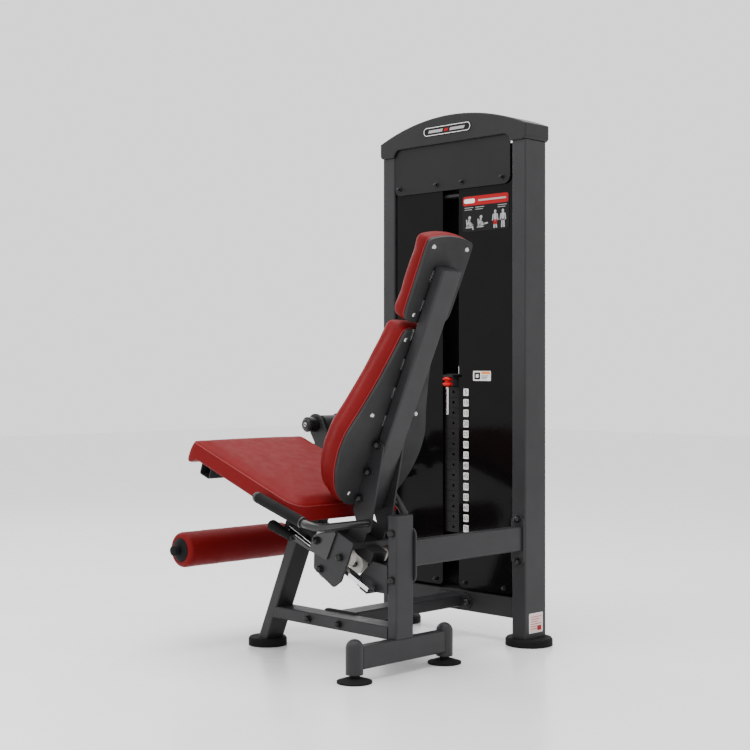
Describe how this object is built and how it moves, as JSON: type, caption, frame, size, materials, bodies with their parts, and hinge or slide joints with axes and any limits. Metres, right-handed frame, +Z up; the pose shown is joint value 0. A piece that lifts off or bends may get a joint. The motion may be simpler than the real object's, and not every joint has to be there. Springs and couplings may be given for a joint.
{
  "type": "leg extension machine",
  "caption": "Seated leg extension machine: tilted seat, railed backrest, knee lever with a shin roller, and a shrouded weight tower beside it.",
  "frame": {"origin": "on the floor, under the middle of the machine's bounding box", "axes": "+X from the seat to the weight tower, +Y the way the sitter faces, +Z up"},
  "size_m": [0.989, 1.0815, 1.815],
  "materials": {
    "frame_paint": "satin powder coat, graphite",
    "cap_paint": "satin powder coat, graphite",
    "badge_plate": "gloss",
    "shroud_gloss": "high gloss",
    "panel_satin": "satin",
    "label_white": "matte",
    "placard_print": "gloss print",
    "rod_chrome": "polished",
    "rubber_black": "matte",
    "stack_black": "satin",
    "bush_nylon": "satin nylon",
    "pin_red": "gloss",
    "cable_coat": "satin",
    "pulley_nylon": "satin",
    "bolt_cap": "satin",
    "grip_black": "matte",
    "handle_paint": "semi gloss",
    "vinyl_red": "satin upholstery vinyl",
    "screw_zinc": "bright",
    "housing_black": "semi gloss"
  },
  "bodies": {
    "root": {"tower_post_rear": "frame_paint", "tower_post_front": "frame_paint", "tower_cross_tubes": "frame_paint", "rubber_feet": "rubber_black", "tower_cap": "cap_paint", "cap_badge": "badge_plate", "header_panel": "panel_satin", "front_shrouds": "shroud_gloss", "rear_shroud": "panel_satin", "plate_labels": "label_white", "guide_placard": "placard_print", "notice_sticker": "label_white", "guide_rods": "rod_chrome", "stack_buffers": "rubber_black", "weight_plates": "stack_black", "lift_cable_drop": "cable_coat", "lift_cable_run": "cable_coat", "top_hangers": "frame_paint", "pulley_brackets": "frame_paint", "upper_beam": "frame_paint", "lower_beam": "frame_paint", "beam_flanges": "frame_paint", "beam_bolts": "bolt_cap", "panel_bolts": "bolt_cap", "rear_post": "frame_paint", "stabilizer": "frame_paint", "stabilizer_posts": "frame_paint", "levelling_feet": "rubber_black", "side_beam": "frame_paint", "front_leg": "frame_paint", "seat_frame": "frame_paint", "seat_cross_tube": "frame_paint", "knee_brackets": "frame_paint", "seat_pad": "vinyl_red", "carriage_rails": "rod_chrome", "rail_brackets": "frame_paint", "knee_housing": "housing_black"},
    "stack_head": {"head_plate": "stack_black", "head_bushes": "bush_nylon", "selector_stem": "rod_chrome"},
    "selector_pin": {"selector_pin": "pin_red"},
    "knee_lever": {"knee_lever": "frame_paint"},
    "shin_roller": {"shin_roller": "vinyl_red"},
    "carriage": {"carriage_plates": "frame_paint", "carriage_bridge": "frame_paint", "cheek_plates": "frame_paint", "carriage_axles": "bolt_cap", "side_handle": "handle_paint", "back_post": "frame_paint", "back_pad": "vinyl_red", "head_pad": "vinyl_red", "pad_screws": "screw_zinc"},
    "front_rollers": {"front_rollers": "bush_nylon"},
    "rear_rollers": {"rear_rollers": "bush_nylon"},
    "lower_rollers": {"lower_rollers": "bush_nylon"},
    "release_lever": {"release_lever": "grip_black"},
    "top_pulley_outer": {"top_pulley_outer": "pulley_nylon"},
    "top_pulley_inner": {"top_pulley_inner": "pulley_nylon"},
    "entry_pulley": {"entry_pulley": "pulley_nylon"},
    "side_pulley": {"side_pulley": "pulley_nylon"}
  },
  "joints": [
    {"name": "stack_lift", "type": "slide", "parent": "root", "child": "stack_head", "axis": [0, 0, 1], "range_m": [0, 0.267], "deforming": ["lift_cable_drop"]},
    {"name": "pin_pull", "type": "slide", "parent": "stack_head", "child": "selector_pin", "axis": [-1, 0, 0], "range_m": [0, 0.06]},
    {"name": "lever_swing", "type": "hinge", "parent": "root", "child": "knee_lever", "pos_m": [-0.204, 0.4218, 0.728], "axis": [1, 0, 0], "range_deg": [0, 85]},
    {"name": "shin_roller_spin", "type": "hinge", "parent": "knee_lever", "child": "shin_roller", "pos_m": [-0.204, 0.48174, 0.32038], "axis": [1, 0, 0], "continuous": true},
    {"name": "backrest_slide", "type": "slide", "parent": "root", "child": "carriage", "axis": [0, -0.9135, -0.4067], "range_m": [0, 0.06]},
    {"name": "front_rollers_spin", "type": "hinge", "parent": "carriage", "child": "front_rollers", "pos_m": [-0.204, -0.05796, 0.38849], "axis": [1, 0, 0], "continuous": true},
    {"name": "rear_rollers_spin", "type": "hinge", "parent": "carriage", "child": "rear_rollers", "pos_m": [-0.204, -0.15799, 0.34395], "axis": [1, 0, 0], "continuous": true},
    {"name": "lower_rollers_spin", "type": "hinge", "parent": "carriage", "child": "lower_rollers", "pos_m": [-0.204, -0.06828, 0.29982], "axis": [1, 0, 0], "continuous": true},
    {"name": "release_squeeze", "type": "hinge", "parent": "carriage", "child": "release_lever", "pos_m": [-0.304, -0.05796, 0.38849], "axis": [1, 0, 0], "range_deg": [0, 10], "stiffness_Nm_per_rad": 6, "springref_deg": -17.19},
    {"name": "top_pulley_outer_spin", "type": "hinge", "parent": "root", "child": "top_pulley_outer", "pos_m": [0.4165, 0.1988, 1.585], "axis": [1, 0, 0], "continuous": true},
    {"name": "top_pulley_inner_spin", "type": "hinge", "parent": "root", "child": "top_pulley_inner", "pos_m": [0.4165, 0.0183, 1.585], "axis": [1, 0, 0], "continuous": true},
    {"name": "entry_pulley_spin", "type": "hinge", "parent": "root", "child": "entry_pulley", "pos_m": [0.3785, 0.2368, 0.586], "axis": [0, 1, 0], "continuous": true},
    {"name": "side_pulley_spin", "type": "hinge", "parent": "root", "child": "side_pulley", "pos_m": [0.304, 0.2748, 0.548], "axis": [0, 0, 1], "continuous": true}
  ],
  "couplings": [
    {"joint": "lever_swing", "follows": "stack_lift", "rad_per_m": 5.5556},
    {"joint": "top_pulley_inner_spin", "follows": "stack_lift", "rad_per_m": -26.316},
    {"joint": "top_pulley_outer_spin", "follows": "stack_lift", "rad_per_m": -26.316},
    {"joint": "entry_pulley_spin", "follows": "stack_lift", "rad_per_m": 26.316},
    {"joint": "side_pulley_spin", "follows": "stack_lift", "rad_per_m": -26.316},
    {"joint": "front_rollers_spin", "follows": "backrest_slide", "rad_per_m": 32.258},
    {"joint": "rear_rollers_spin", "follows": "backrest_slide", "rad_per_m": 32.258},
    {"joint": "lower_rollers_spin", "follows": "backrest_slide", "rad_per_m": -32.258}
  ]
}
